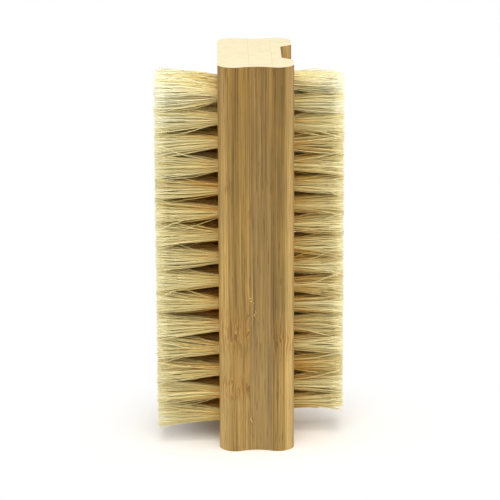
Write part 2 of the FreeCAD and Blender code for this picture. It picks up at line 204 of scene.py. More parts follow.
class NailBrushBristle(bpy.types.PropertyGroup):
    """Sizes and colours of the bristle bundles"""

    scrub_tufts: bpy.props.IntProperty(
        name="Scrub tufts in a row", description="Bundles along each row of the wide field",
        min=2, default=15)
    nail_tufts: bpy.props.IntProperty(
        name="Nail tufts in a row", description="Bundles along each row in the groove",
        min=2, default=17)
    count: bpy.props.IntProperty(
        name="Bristles in a tuft", description="Loose ends that stand out of each bore",
        min=20, default=220)
    thickness: bpy.props.FloatProperty(
        name="Bristle thickness", description="Mean diameter of a bristle",
        unit="LENGTH", min=0.01 * MM, default=0.185 * MM, precision=5)
    free_length: bpy.props.FloatProperty(
        name="Free length", description="From the drilled face to the trimmed tips",
        unit="LENGTH", min=1.0 * MM, default=15.8 * MM, precision=5)
    bore_radius: bpy.props.FloatProperty(
        name="Root radius", description="Radius that the roots of a bundle fill in its bore",
        unit="LENGTH", min=0.1 * MM, default=1.53 * MM, precision=5)
    spread: bpy.props.FloatProperty(
        name="Spread", description="Width of a bundle's tips, as a share of its solid's width",
        subtype="FACTOR", min=0.5, max=1.5, default=1.16)
    held: bpy.props.FloatProperty(
        name="Held", description="How long a bundle stays narrow past its bore, 0 for a straight cone",
        subtype="FACTOR", min=0.0, max=1.0, default=0.4)
    scrub_end_hold: bpy.props.FloatProperty(
        name="Scrub end hold",
        description="Reach past which the wide field's end bundles are squeezed, as a share of half a width",
        subtype="FACTOR", min=0.0, max=1.5, default=0.95)
    nail_end_hold: bpy.props.FloatProperty(
        name="Nail end hold",
        description="Reach past which the groove's end bundles are squeezed, as a share of half a width",
        subtype="FACTOR", min=0.0, max=1.5, default=0.05)
    lean: bpy.props.FloatProperty(
        name="Lean", description="Typical sideways lean of a whole bundle at its tips",
        unit="LENGTH", min=0.0, default=0.32 * MM, precision=5)
    bunches: bpy.props.IntProperty(
        name="Bunches in a tuft", description="Strands that the bristles of a bundle gather in",
        min=1, default=20)
    stray_share: bpy.props.FloatProperty(
        name="Strays", description="Share of bristles that cross their neighbours",
        subtype="FACTOR", min=0.0, max=1.0, default=0.11)
    # painted shade: the inner rows of the wide field are made more ochre and darker, for the shade deep in
    # the field
    inner_row_shade: bpy.props.FloatProperty(
        name="Inner rows", description="How much more ochre the inner rows of the wide field are",
        subtype="FACTOR", min=0.0, max=1.0, default=0.36)
    # painted shade: the rows in the groove are made more ochre and darker, for the groove's shade
    groove_row_shade: bpy.props.FloatProperty(
        name="Nail rows", description="How much more ochre the rows in the groove are",
        subtype="FACTOR", min=0.0, max=1.0, default=0.2)
    dull: bpy.props.FloatVectorProperty(
        name="Darkest bristle", description="Colour of the most ochre bristles",
        subtype="COLOR", size=3, min=0.0, max=1.0, default=(0.72, 0.58, 0.25))
    middle: bpy.props.FloatVectorProperty(
        name="Middling bristle", description="Colour of most bristles",
        subtype="COLOR", size=3, min=0.0, max=1.0, default=(0.91, 0.84, 0.52))
    pale: bpy.props.FloatVectorProperty(
        name="Palest bristle", description="Colour of the bleached bristles",
        subtype="COLOR", size=3, min=0.0, max=1.0, default=(0.99, 0.97, 0.77))


class NailBrushStage(bpy.types.PropertyGroup):
    """Camera, lamps and floor"""

    camera_place: bpy.props.FloatVectorProperty(
        name="Camera place", description="Where the camera stands",
        subtype="TRANSLATION", unit="LENGTH", size=3, default=(-9.45 * MM, -629.58 * MM, 226.81 * MM))
    camera_aim: bpy.props.FloatVectorProperty(
        name="Camera aim", description="Point in the middle of the picture",
        subtype="TRANSLATION", unit="LENGTH", size=3, default=(-1.39 * MM, 0.47 * MM, 48.02 * MM))
    camera_roll: bpy.props.FloatProperty(
        name="Camera roll", description="Turn of the camera about its line of sight",
        subtype="ANGLE", default=math.radians(-0.22))
    lens: bpy.props.FloatProperty(
        name="Lens", description="Focal length on a 36 mm sensor, in millimetres", min=1.0, default=182.7)
    front_power: bpy.props.FloatProperty(
        name="Front power", description="Strength of the softbox above the camera's side",
        unit="POWER", min=0.0, default=2.15)
    overhead_power: bpy.props.FloatProperty(
        name="Overhead power", description="Strength of the softbox above the brush",
        unit="POWER", min=0.0, default=3.0)
    nail_side_power: bpy.props.FloatProperty(
        name="Nail side power", description="Strength of the soft lamp that faces the nail field",
        unit="POWER", min=0.0, default=0.95)
    scrub_side_power: bpy.props.FloatProperty(
        name="Scrub side power", description="Strength of the soft lamp that faces the wide field",
        unit="POWER", min=0.0, default=0.62)
    ambient: bpy.props.FloatProperty(
        name="Ambient", description="Strength of the even light from all round",
        subtype="FACTOR", min=0.0, max=2.0, default=0.3)
    # partly painted light: a warm tint that shows only in the brush's shadow, for light bounced through the
    # bristles; where lit, the floor clips to white
    floor_tone_and_warm_shadow: bpy.props.FloatVectorProperty(
        name="Floor tone", description="Colour of the floor near the brush",
        subtype="COLOR", size=3, min=0.0, max=1.0, default=(0.97, 0.92, 0.84))
    floor_bounce: bpy.props.FloatVectorProperty(
        name="Floor bounce", description="Colour that the floor throws back at the brush",
        subtype="COLOR", size=3, min=0.0, max=1.0, default=(0.8, 0.8, 0.8))


class Finish:
    """The nodes of one material or world, with a short call for each kind of node that is used often"""

    def __init__(self, made):
        made.use_nodes = True
        self.made = made
        self.tree = made.node_tree
        self.tree.nodes.clear()

    def node(self, kind, inputs=(), **settings):
        """A node with its settings; inputs are (socket, value or output) pairs"""
        made = self.tree.nodes.new(kind)
        for name, value in settings.items():
            setattr(made, name, value)
        for socket, value in inputs:
            self.feed(made.inputs[socket], value)
        return made

    def feed(self, socket, value):
        """Links an output to a socket, or sets the socket where the value is the same all over"""
        if isinstance(value, bpy.types.NodeSocket):
            self.tree.links.new(value, socket)
        else:
            socket.default_value = value

    def math(self, operation, *values, clamp=False):
        inputs = list(enumerate(values))
        return self.node("ShaderNodeMath", inputs, operation=operation, use_clamp=clamp).outputs[0]

    def vector(self, operation, *values):
        inputs = list(enumerate(values))
        return self.node("ShaderNodeVectorMath", inputs, operation=operation).outputs[0]

    def parts(self, vector):
        """The X, Y and Z of a vector"""
        return self.node("ShaderNodeSeparateXYZ", [("Vector", vector)]).outputs

    def noise(self, place, detail=2.0, roughness=0.5):
        """Noise from 0 to 1 at a place that is already scaled to one cell a unit"""
        inputs = [("Vector", place), ("Scale", 1.0), ("Detail", detail), ("Roughness", roughness)]
        return self.node("ShaderNodeTexNoise", inputs).outputs["Fac"]

    def between(self, value, low, high, start=0.0, end=1.0):
        """A smooth step from start to end as the value goes from low to high"""
        inputs = [("Value", value), (1, low), (2, high), (3, start), (4, end)]
        return self.node("ShaderNodeMapRange", inputs, interpolation_type="SMOOTHSTEP").outputs[0]

    def mix(self, factor, first, second, blend="MIX"):
        """Colours mixed by a factor"""
        made = self.node("ShaderNodeMix", data_type="RGBA", blend_type=blend)
        for index, value in ((0, factor), (6, first), (7, second)):
            self.feed(made.inputs[index], colour(value) if isinstance(value, tuple) else value)
        return made.outputs[2]

    def ramp(self, factor, *stops):
        """A colour ramp through (place, colour) stops"""
        made = self.node("ShaderNodeValToRGB", [("Fac", factor)])
        elements = made.color_ramp.elements
        while len(elements) < len(stops):
            elements.new(1.0)
        for element, (place, tone) in zip(elements, stops):
            element.position = place
            element.color = colour(tone)
        return made.outputs["Color"]

    def principled(self, **inputs):
        """A finished surface; inputs are the sockets' names, with low lines for spaces, and their values"""
        named = [(name.replace("_", " "), value) for name, value in inputs.items()]
        return self.surface(self.node("ShaderNodeBsdfPrincipled", named).outputs[0])

    def surface(self, shader, output="ShaderNodeOutputMaterial"):
        self.node(output, [("Surface", shader)])
        return self.made


def colour(tone):
    """A colour with full opacity"""
    return (*tone[:3], 1.0)


def grey(level):
    return (level, level, level)


def shade(tone, factor):
    """A colour made lighter or darker by a factor"""
    return tuple(min(1.0, part * factor) for part in tone[:3])


def dyed(tone, dye):
    """A colour with each of its parts multiplied by that of a dye"""
    return tuple(part * share for part, share in zip(tone[:3], dye))


class Bamboo(Finish):
    """The nodes of one bamboo finish: the patterns of the grain, and the colours that are drawn with them.

    The grain runs along Z. Knuckles are (height, half height) pairs, and seams and veins are planes across X,
    all in metres. The painted highlight on the rounded long edges is multiplied by rim."""

    # size of one cell of each pattern, (across the grain, along it), and of the dots of an end in X, Y and Z
    WAVE_CELL = (2.0 * MM, 9.0 * MM)
    FINE_CELL = (0.3 * MM, 30.0 * MM)
    MEDIUM_CELL = (0.62 * MM, 80.0 * MM)
    BROAD_CELL = (3.2 * MM, 150.0 * MM)
    DASH_CELL = (0.75 * MM, 30.0 * MM)
    CLOUD_CELL = (5.0 * MM, 16.0 * MM)
    SPECK_CELL = (0.3 * MM, 6.0 * MM)
    DOT_CELL = (0.62 * MM, 0.8 * MM, 1.0)
    DOT_DISORDER = 0.9

    # range of the grain's sideways waves at a knuckle, and the shares of that elsewhere and in a vein
    WAVE_SWING = 1.8 * MM
    PLAIN_SWING = 0.1
    VEIN_SWING = 0.1

    # shares of the fine, medium and broad patterns in the streaks
    STREAK_SHARES = (0.55, 0.4, 0.2)
    # (level of the streaks, share of the contrast by which the tone is paler there)
    STREAK_STOPS = ((0.42, -0.9), (0.54, -0.15), (0.62, 0.15), (0.72, 0.8))

    # (level, half width) of the lines that are drawn where a pattern passes a level
    DARK_LINE = (0.47, 0.03)
    CURL_LINE = (0.46, 0.055)
    PITH_LINE = (0.55, 0.05)
    # the part of a line's half width that has its full strength
    FULL_PART = 0.3

    # smooth steps: from one value to another, with the strength at each of them
    LINE_STEP = (0.4, 0.65, 0.05, 0.4)
    SPECK_STEP = (0.6, 0.7, 0.0, 0.6)
    DOT_STEP = (0.3, 0.12, 0.0, 0.3)
    END_PATCH_STEP = (0.45, 0.7, 0.0, 0.3)
    GLUE_STEP = (0.3, 0.6, 0.35, 0.8)
    ROUGHNESS_STEP = (0.4, 0.75, 0.62, 0.44)
    END_STEP = (0.6, 0.85)

    # strengths of the knuckles' stain, curls and pith, of a vein at the upper end, and of the glue on an end
    STAIN_STRENGTH = 0.5
    CURL_STRENGTH = 0.8
    PITH_STRENGTH = 0.6
    VEIN_STRENGTH = 0.9
    END_GLUE = 0.25

    # half width of a vein, and the share of the block's length at which it has faded out
    VEIN_HALF = 0.14 * MM
    VEIN_FOOT = 0.5
    # distance of the middle of a painted highlight strip from the outermost face across X, and its half width
    HIGHLIGHT_INSET = 1.3 * MM
    HIGHLIGHT_HALF = 1.5 * MM

    # what the tone is multiplied by in dark fibres, at a knuckle and in pith, and the tint of the painted
    # highlight on a rounded long edge
    DARK_DYE = (0.5, 0.39, 0.26)
    STAIN_DYE = (1.0, 0.86, 0.7)
    PITH_SHADE = 1.5
    EDGE_HIGHLIGHT_DYE = (1.25, 1.32, 1.6)
    # stops of what the tint is multiplied by, over the clouds and from the lower end to the upper one
    CLOUD_STOPS = ((0.3, grey(0.84)), (0.7, grey(1.08)))
    DRIFT_STOPS = ((0.0, (1.0, 1.0, 1.06)), (0.5, (0.84, 0.81, 0.74)), (1.0, (0.71, 0.65, 0.51)))
    # what the tone of an end is multiplied by in its dots and patches
    DOT_SHADE = 0.6
    END_PATCH_SHADE = 0.82

    # depth and strength of the grain's relief, the curls' share in it, and the gloss of the sides and ends
    RELIEF = 0.07 * MM
    RELIEF_STRENGTH = 0.4
    CURL_RELIEF = -0.6
    SIDE_GLOSS = 0.35
    END_GLOSS = 0.05

    def __init__(self, name, tone, look, knuckles, shift):
        super().__init__(bpy.data.materials.new(name))
        self.tone = tone
        self.look = look
        self.shift = shift
        self.dark = dyed(tone, self.DARK_DYE)
        self.length = CAD_BOX[1].z

        coordinates = self.node("ShaderNodeTexCoord").outputs
        self.place = coordinates["Object"]
        self.across, depth, self.height = self.parts(self.place)
        facing = self.parts(coordinates["Normal"])["Z"]
        self.is_end = self.between(self.math("ABSOLUTE", facing), *self.END_STEP)

        self.knuckle = self.bands(self.height, knuckles)
        wave = self.pattern(self.place, self.WAVE_CELL)
        self.swing = self.math("MULTIPLY", self.math("SUBTRACT", wave, 0.5), self.WAVE_SWING)
        warp = self.math("MULTIPLY", self.swing, self.math("ADD", self.PLAIN_SWING, self.knuckle))
        bent = self.node("ShaderNodeCombineXYZ", [
            ("X", self.math("ADD", self.across, warp)),
            ("Y", self.math("ADD", depth, warp)),
            ("Z", self.height)]).outputs[0]

        self.fine = self.pattern(bent, self.FINE_CELL, detail=3.0, roughness=0.6)
        self.medium = self.pattern(bent, self.MEDIUM_CELL)
        self.broad = self.pattern(bent, self.BROAD_CELL, detail=1.0)
        self.dash = self.pattern(bent, self.DASH_CELL, detail=1.0)
        self.speck = self.pattern(bent, self.SPECK_CELL, detail=1.0)
        self.cloud = self.pattern(self.place, self.CLOUD_CELL)
        self.curl = self.math("MULTIPLY", self.line(self.dash, *self.CURL_LINE), self.knuckle, clamp=True)

        patterns = (self.fine, self.medium, self.broad)
        fine, medium, broad = (self.math("MULTIPLY", *pair) for pair in zip(patterns, self.STREAK_SHARES))
        self.streak = self.math("ADD", self.math("ADD", fine, medium), broad)

    def pattern(self, place, cell, detail=2.0, roughness=0.5):
        """Noise in cells of one thickness across the grain and one length along it"""
        thin, long = cell
        moved = self.vector("ADD", place, (self.shift * thin, self.shift * thin, self.shift * long))
        return self.noise(self.vector("DIVIDE", moved, (thin, thin, long)), detail, roughness)

    def apart(self, value, level):
        """How far a value is from a level"""
        return self.math("ABSOLUTE", self.math("SUBTRACT", value, level))

    def line(self, value, level, half):
        """A line where a value passes a level"""
        return self.between(self.apart(value, level), half, self.FULL_PART * half)

    def bands(self, value, places):
        """Soft bands where a value passes the middles of (middle, half width) pairs"""
        total = 0.0
        for middle, half in places:
            total = self.math("ADD", self.between(self.apart(value, middle), half, 0.0), total)
        return total

    def streaks(self):
        """The tone in streaks, and redder at the knuckles"""
        contrast = self.look.fibre_contrast
        stops = [(level, shade(self.tone, 1.0 + share * contrast)) for level, share in self.STREAK_STOPS]
        stained = self.math("MULTIPLY", self.knuckle, self.STAIN_STRENGTH, clamp=True)
        return self.mix(stained, self.ramp(self.streak, *stops), dyed(self.tone, self.STAIN_DYE))

    def marked(self, tint, veins):
        """A tint with dark lines, curls and pith at the knuckles, veins that fade downwards, and specks"""
        lines = self.line(self.medium, *self.DARK_LINE)
        lines = self.math("MULTIPLY", lines, self.between(self.cloud, *self.LINE_STEP))
        tint = self.mix(lines, tint, self.dark)
        tint = self.mix(self.math("MULTIPLY", self.curl, self.CURL_STRENGTH), tint, self.dark)
        pith = self.math("MULTIPLY", self.line(self.dash, *self.PITH_LINE), self.knuckle, clamp=True)
        pith = self.math("MULTIPLY", pith, self.PITH_STRENGTH)
        tint = self.mix(pith, tint, shade(self.tone, self.PITH_SHADE))
        fades = self.between(self.height, self.VEIN_FOOT * self.length, self.length, 0.0, self.VEIN_STRENGTH)
        swayed = self.math("ADD", self.across, self.math("MULTIPLY", self.swing, self.VEIN_SWING))
        for vein in veins:
            drawn = self.line(swayed, vein, self.VEIN_HALF)
            tint = self.mix(self.math("MULTIPLY", drawn, fades), tint, self.dark)
        return self.mix(self.between(self.speck, *self.SPECK_STEP), tint, self.dark)

    def highlit_and_clouded(self, tint, rim):
        """A tint with a painted highlight on the rounded long edges, cloudy, and darker towards the upper end
        """
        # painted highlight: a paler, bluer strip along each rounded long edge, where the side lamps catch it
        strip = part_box("nail_side_ply")[1].x - self.HIGHLIGHT_INSET
        edge_highlight = self.line(self.math("ABSOLUTE", self.across), strip, self.HIGHLIGHT_HALF)
        tint = self.mix(edge_highlight, tint, dyed(self.EDGE_HIGHLIGHT_DYE, grey(rim)), blend="MULTIPLY")
        tint = self.mix(1.0, tint, self.ramp(self.cloud, *self.CLOUD_STOPS), blend="MULTIPLY")
        drift = self.ramp(self.math("DIVIDE", self.height, self.length), *self.DRIFT_STOPS)
        return self.mix(1.0, tint, drift, blend="MULTIPLY")

    def sawn_end(self):
        """The tone of a sawn end, with the dots of cut fibres and duller patches"""
        # the end's pale tone is partly painted light from above
        tone = self.look.end_tone
        dots = self.node("ShaderNodeTexVoronoi", [
            ("Vector", self.vector("DIVIDE", self.place, self.DOT_CELL)),
            ("Scale", 1.0),
            ("Randomness", self.DOT_DISORDER)]).outputs["Distance"]
        tint = self.mix(self.between(dots, *self.DOT_STEP), colour(tone), shade(tone, self.DOT_SHADE))
        patches = self.between(self.broad, *self.END_PATCH_STEP)
        return self.mix(patches, tint, shade(tone, self.END_PATCH_SHADE))

    def glued(self, tint, seams):
        """A tint with a dark, uneven line along each glue seam, fainter on the ends"""
        glue = self.bands(self.across, [(seam, self.look.seam_width) for seam in seams])
        glue = self.math("MULTIPLY", glue, self.between(self.fine, *self.GLUE_STEP), clamp=True)
        glue = self.math("MULTIPLY", glue, self.between(self.is_end, 0.0, 1.0, 1.0, self.END_GLUE))
        return self.mix(glue, tint, self.dark)


def bamboo(name, tone, look, seams, knuckles, veins, rim, shift):
    """Laminated bamboo: streaks drawn out along Z, glue lines at the seams, wavy hair-like fibres at the
    knuckles, single dark veins that fade downwards, a painted highlight on the rounded long edges, and matt,
    dotted ends whose pale tone is partly painted light from above"""
    finish = Bamboo(name, tone, look, knuckles, shift)
    side = finish.highlit_and_clouded(finish.marked(finish.streaks(), veins), rim)
    tint = finish.glued(finish.mix(finish.is_end, side, finish.sawn_end()), seams)
    grain = finish.math("ADD", finish.fine, finish.math("MULTIPLY", finish.curl, finish.CURL_RELIEF))
    relief = finish.node("ShaderNodeBump", [
        ("Strength", finish.RELIEF_STRENGTH), ("Distance", finish.RELIEF), ("Height", grain)])
    return finish.principled(
        Base_Color=tint,
        Roughness=finish.between(finish.streak, *finish.ROUGHNESS_STEP),
        Normal=relief.outputs["Normal"],
        Specular_IOR_Level=finish.between(finish.is_end, 0.0, 1.0, finish.SIDE_GLOSS, finish.END_GLOSS))


def bristle(look):
    """Natural bristle: a tint for each bristle from ochre to bleached, with painted shade that makes it
    darker and browner towards the bore, where it lies deep between the bundles, and more so the more ochre it
    is"""
    # painted shade: what a bristle's tint is multiplied by along it, darkest at the bore and nothing at the
    # tip
    ochre_root_shade = (
        (0.0, (0.8, 0.42, 0.12)),
        (0.24, (1.0, 0.63, 0.26)),
        (0.48, (1.0, 0.75, 0.4)),
        (0.8, (0.98, 0.9, 0.68)),
        (1.0, grey(1.0)))
    bleached_root_shade = (
        (0.0, (0.5, 0.33, 0.13)),
        (0.22, (0.86, 0.71, 0.44)),
        (0.45, (0.94, 0.85, 0.59)),
        (0.75, (0.98, 0.94, 0.8)),
        (1.0, grey(1.0)))
    tone_stops = (
        (0.0, look.dull),
        (0.4, look.middle),
        (0.75, shade(look.middle, 1.1)),
        (1.0, look.pale))
    bleached_tints = (0.1, 0.45)
    roughness_step = (0.0, 1.0, 0.65, 0.45)
    gloss = 0.12

    finish = Finish(bpy.data.materials.new("natural_bristle"))
    tint = finish.node("ShaderNodeAttribute", attribute_name="tint").outputs["Fac"]
    along = finish.node("ShaderNodeAttribute", attribute_name="along").outputs["Fac"]
    is_bleached = finish.between(tint, *bleached_tints)
    root_shade = finish.mix(is_bleached, finish.ramp(along, *ochre_root_shade), finish.ramp(along, *bleached_root_shade))
    return finish.principled(
        Base_Color=finish.mix(1.0, finish.ramp(tint, *tone_stops), root_shade, blend="MULTIPLY"),
        Roughness=finish.between(tint, *roughness_step),
        Specular_IOR_Level=gloss)


def drawn_wire():
    """Flat steel wire, with fine scratches along the way it was drawn"""
    scratch_cell = (0.05 * MM, 2.0 * MM, 0.05 * MM)
    tone_stops = ((0.3, grey(0.42)), (0.7, (0.66, 0.65, 0.62)))
    roughness_step = (0.3, 0.7, 0.45, 0.25)

    finish = Finish(bpy.data.materials.new("drawn_wire"))
    place = finish.node("ShaderNodeTexCoord").outputs["Object"]
    scratches = finish.noise(finish.vector("DIVIDE", place, scratch_cell), detail=3.0)
    return finish.principled(
        Base_Color=finish.ramp(scratches, *tone_stops),
        Roughness=finish.between(scratches, *roughness_step),
        Metallic=1.0)


def tubes(lines, radii):
    """Points and faces, as arrays, of closed tubes round many centre lines at once.

    lines has shape (tubes, rings, 3) and radii (tubes, rings). Round each ring's centre stand TUBE_SIDES
    points, at the radius, in the plane square to the line there. Neighbour rings are joined by four-sided
    faces, and the two end rings are closed."""
    many, rings = radii.shape
    ahead = np.gradient(lines, axis=1)
    ahead /= np.linalg.norm(ahead, axis=2, keepdims=True)
    level = np.array([0.0, 1.0, 0.0])
    first = level - ahead * (ahead @ level)[..., None]
    first /= np.linalg.norm(first, axis=2, keepdims=True)
    second = np.cross(ahead, first)
    turn = (np.arange(TUBE_SIDES) + 0.5) * math.tau / TUBE_SIDES
    ring = np.cos(turn)[:, None] * first[:, :, None] + np.sin(turn)[:, None] * second[:, :, None]
    points = lines[:, :, None] + radii[:, :, None, None] * ring
    number = np.arange(many * rings * TUBE_SIDES).reshape(many, rings, TUBE_SIDES)
    beside = np.roll(number, -1, axis=2)
    walls = np.stack([number[:, :-1], beside[:, :-1], beside[:, 1:], number[:, 1:]], axis=-1)
    caps = np.stack([number[:, 0, ::-1], number[:, -1]], axis=1)
    faces = np.concatenate([walls.reshape(many, -1, TUBE_SIDES), caps], axis=1)
    return points.reshape(-1, 3), faces.reshape(-1, TUBE_SIDES)


def new_piece(name, points, faces, material):
    """A mesh object from arrays of points and four-sided faces, riding on the brush"""
    mesh = bpy.data.meshes.new(name)
    mesh.vertices.add(len(points))
    mesh.vertices.foreach_set("co", points.astype(np.float32).ravel())
    mesh.loops.add(faces.size)
    mesh.loops.foreach_set("vertex_index", faces.astype(np.int32).ravel())
    mesh.polygons.add(len(faces))
    mesh.polygons.foreach_set("loop_start", np.arange(0, faces.size, faces.shape[1], dtype=np.int32))
    mesh.polygons.foreach_set("use_smooth", np.ones(len(faces), dtype=bool))
    mesh.update(calc_edges=True)
    if mesh.validate():
        raise RuntimeError(f"{name} has faces that don't hold")
    mesh.materials.append(material)
    piece = bpy.data.objects.new(name, mesh)
    bpy.context.scene.collection.objects.link(piece)
    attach(piece, BODY)
    return piece


def bundle_tips(rng, disc, radius, half, look):
    """Places of the tips about the middle of their bundle, which bristles are strays, and the bunches' tints.

    A tip lies where its root on the unit disc is taken when the disc is widened to the bundle's half width
    and pulled out, for the greater part, to a square. It is then drawn towards the middle of its bunch, which
    is the nearest of some points strewn over the bundle. Last it is moved with that bunch, by the lean of the
    bundle, by a little of its own and, for a stray, by a good deal more."""
    tufts, count, _ = disc.shape
    square = disc * (radius / np.abs(disc).max(axis=-1))[..., None]
    tip = ((1.0 - SQUARE_SHARE) * disc + SQUARE_SHARE * square) * (half * look.spread)

    middles = rng.uniform(-1.0, 1.0, (tufts, look.bunches, 2))
    nearest = np.linalg.norm(disc[:, :, None] - middles[:, None], axis=-1).argmin(axis=-1)
    bunch_move = rng.normal(0.0, BUNCH_MOVE, (tufts, look.bunches, 2))
    bunch_tint = rng.normal(0.0, BUNCH_TINT, (tufts, look.bunches))
    pulled = half * np.take_along_axis(middles, nearest[..., None], axis=1)
    moved = np.take_along_axis(bunch_move, nearest[..., None], axis=1)
    tip = (1.0 - BUNCH_PULL) * tip + BUNCH_PULL * pulled + moved
    tip += rng.normal(0.0, look.lean, (tufts, 1, 2)) * LEAN_SHARES
    tip += rng.normal(0.0, OWN_MOVE, (tufts, count, 2))
    stray = rng.random((tufts, count)) < look.stray_share
    tip += stray[..., None] * rng.normal(0.0, 1.0, (tufts, count, 2)) * STRAY_MOVE
    return tip, stray, np.take_along_axis(bunch_tint, nearest, axis=1)


def bristle_courses(rng, root, tip, stray, narrow):
    """How the bristles run sideways over their free length.

    At a share s of the free length a bristle has gone s (1 - n (1 - s)) of the way from its root to its tip,
    where n is how narrow its bundle stays. To that come a wave, which is nothing at the root, and half a sine
    as a bow."""
    rings = FREE_RINGS[:, None]
    many = (*stray.shape, 1, 2)
    opened = rings * (1.0 - narrow[..., None, None] * (1.0 - rings))
    wave_size = rng.normal(0.0, WAVE_SIZE, many) * (1.0 + STRAY_WAVE * stray[..., None, None])
    wave_turn = rng.uniform(0.0, math.tau, many)
    wave = wave_size * np.sin(rings * math.tau * WAVES + wave_turn) * rings * (WAVE_FADE - rings)
    bow = rng.normal(0.0, BOW_SIZE, many) * np.sin(rings * math.pi)
    return root[:, :, None] + (tip - root)[:, :, None] * opened + wave + bow


def bristle_lines(node, tufts, towards, row_shade, held, look, seed):
    """Centre lines, radii and tints of the bristles in one row of tufts.

    The roots of a bundle lie on a sunflower spiral that fills the bore: root i of c, counted from 0, lies at
    the square root of (i + 1/2) / c of the radius, and i times the golden angle round it. A line runs
    straight from the anchor in the bore to the drilled face, and from there to its tip. Its height over the
    face is the free length, less a little where the trim is uneven. The two end bundles are squeezed inwards
    along the row, and the topmost ones open early and are painted paler, as the overhead lamp lights them.
    towards is +1 or -1 along X, and the row's shift of tint, which is painted shade for the inner rows and
    the groove's rows, darkens or lightens the rest of the row."""
    rng = np.random.default_rng(seed)
    low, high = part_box(node)
    half = 0.5 * (high.y - low.y)
    first, last = low.z + half, high.z - half
    tip_face = high.x if towards > 0 else low.x
    drilled_face = tip_face - towards * look.free_length
    wire_low, wire_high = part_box(node.replace("tufts", "anchors"))
    wire_face = wire_high.x if towards > 0 else wire_low.x

    many = (tufts, look.count)
    index = np.arange(look.count)
    radius = np.sqrt((index + 0.5) / look.count)
    angle = GOLDEN_ANGLE * index + rng.uniform(0.0, math.tau, (tufts, 1))
    disc = radius[:, None] * np.stack([np.cos(angle), np.sin(angle)], axis=-1)
    root = disc * look.bore_radius
    tip, stray, bunch_tint = bundle_tips(rng, disc, radius, half, look)
    limit = half * (look.nail_end_hold if towards > 0 else look.scrub_end_hold)
    tip[0, :, 1] -= END_SQUEEZE * np.minimum(tip[0, :, 1] + limit, 0.0)
    tip[-1, :, 1] -= END_SQUEEZE * np.maximum(tip[-1, :, 1] - limit, 0.0)
    tip[0, :, 1] = np.maximum(tip[0, :, 1], FLOOR_CLEARANCE - first)

    topmost = np.clip(np.linspace(TOPMOST_START, 1.0, tufts), 0.0, 1.0)[:, None]
    sideways = bristle_courses(rng, root, tip, stray, held - (held + EARLY_OPENING) * topmost)
    trim = rng.normal(TRIM_MEAN, TRIM_DIFFERENCE, many) + stray * rng.uniform(0.0, STRAY_TRIM, many)
    lines = np.empty((*many, len(FREE_RINGS) + 1, 3))
    lines[:, :, 1:, 0] = drilled_face + towards * FREE_RINGS * (look.free_length - trim)[..., None]
    lines[:, :, 1:, 1:] = sideways
    lines[:, :, 0, 0] = wire_face
    lines[:, :, 0, 1:] = root
    lines[..., 1] += 0.5 * (low.y + high.y)
    lines[..., 2] += np.linspace(first, last, tufts)[:, None, None]

    thick = look.thickness * rng.uniform(*THICKNESS_RANGE, (*many, 1))
    taper = np.concatenate([[1.0], 1.0 - TAPER * FREE_RINGS])
    tint = MEAN_TINT + bunch_tint + rng.normal(0.0, OWN_TINT, many)
    # painted light: the topmost bundles paler, as the overhead lamp lights them; painted shade: the rest of
    # an inner or groove row shifted to ochre
    tint += rng.normal(0.0, BUNDLE_TINT, (tufts, 1)) + TOPMOST_LIGHT * topmost + row_shade * (1.0 - topmost)
    # painted shade: the sides of a bundle, along the gaps between bundles, duller than its middle
    tint += GAP_SIDE_SHADE * (0.5 - np.abs(disc[..., 1]))
    bristles = tufts * look.count
    return (
        lines.reshape(bristles, -1, 3),
        (0.5 * thick * taper).reshape(bristles, -1),
        np.clip(tint, 0.0, 1.0).ravel(),
    )


def tuft_row(node, tufts, towards, row_shade, held, material, seed):
    """One row of tufts as loose bristles, in the place of the row's solids. Each bristle has its tint and the
    share of its length as attributes, and a map that lays all bristles of one tint on one strip from root to
    tip."""
    look = bpy.context.scene.nail_brush_bristle
    lines, radii, tint = bristle_lines(node, tufts, towards, row_shade, held, look, seed)
    points, faces = tubes(lines, radii)
    piece = new_piece("bristles_of_" + node, points, faces, material)
    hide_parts(node)

    many, rings = radii.shape
    step = np.linalg.norm(np.diff(lines, axis=1), axis=2)
    along = np.concatenate([np.zeros((many, 1)), np.cumsum(step, axis=1)], axis=1)
    along /= along[:, -1:]
    strip = np.minimum((tint * TINTS).astype(int), TINTS - 1)
    shape = (many, rings, TUBE_SIDES)
    along = np.broadcast_to(along[:, :, None], shape).ravel()
    tint = np.broadcast_to(((strip + 0.5) / TINTS)[:, None, None], shape).ravel()
    side = np.abs(np.arange(TUBE_SIDES) - 0.5 * TUBE_SIDES) / TUBE_SIDES - 0.25
    mapped = np.broadcast_to(side, shape).ravel() / TINTS + tint
    for name, values in (("along", along), ("tint", tint)):
        piece.data.attributes.new(name, "FLOAT", "POINT").data.foreach_set("value", values.astype(np.float32))
    corners = np.stack([mapped, along], axis=1)[faces.ravel()]
    piece.data.uv_layers.new(name=BRISTLE_MAP).uv.foreach_set("vector", corners.astype(np.float32).ravel())


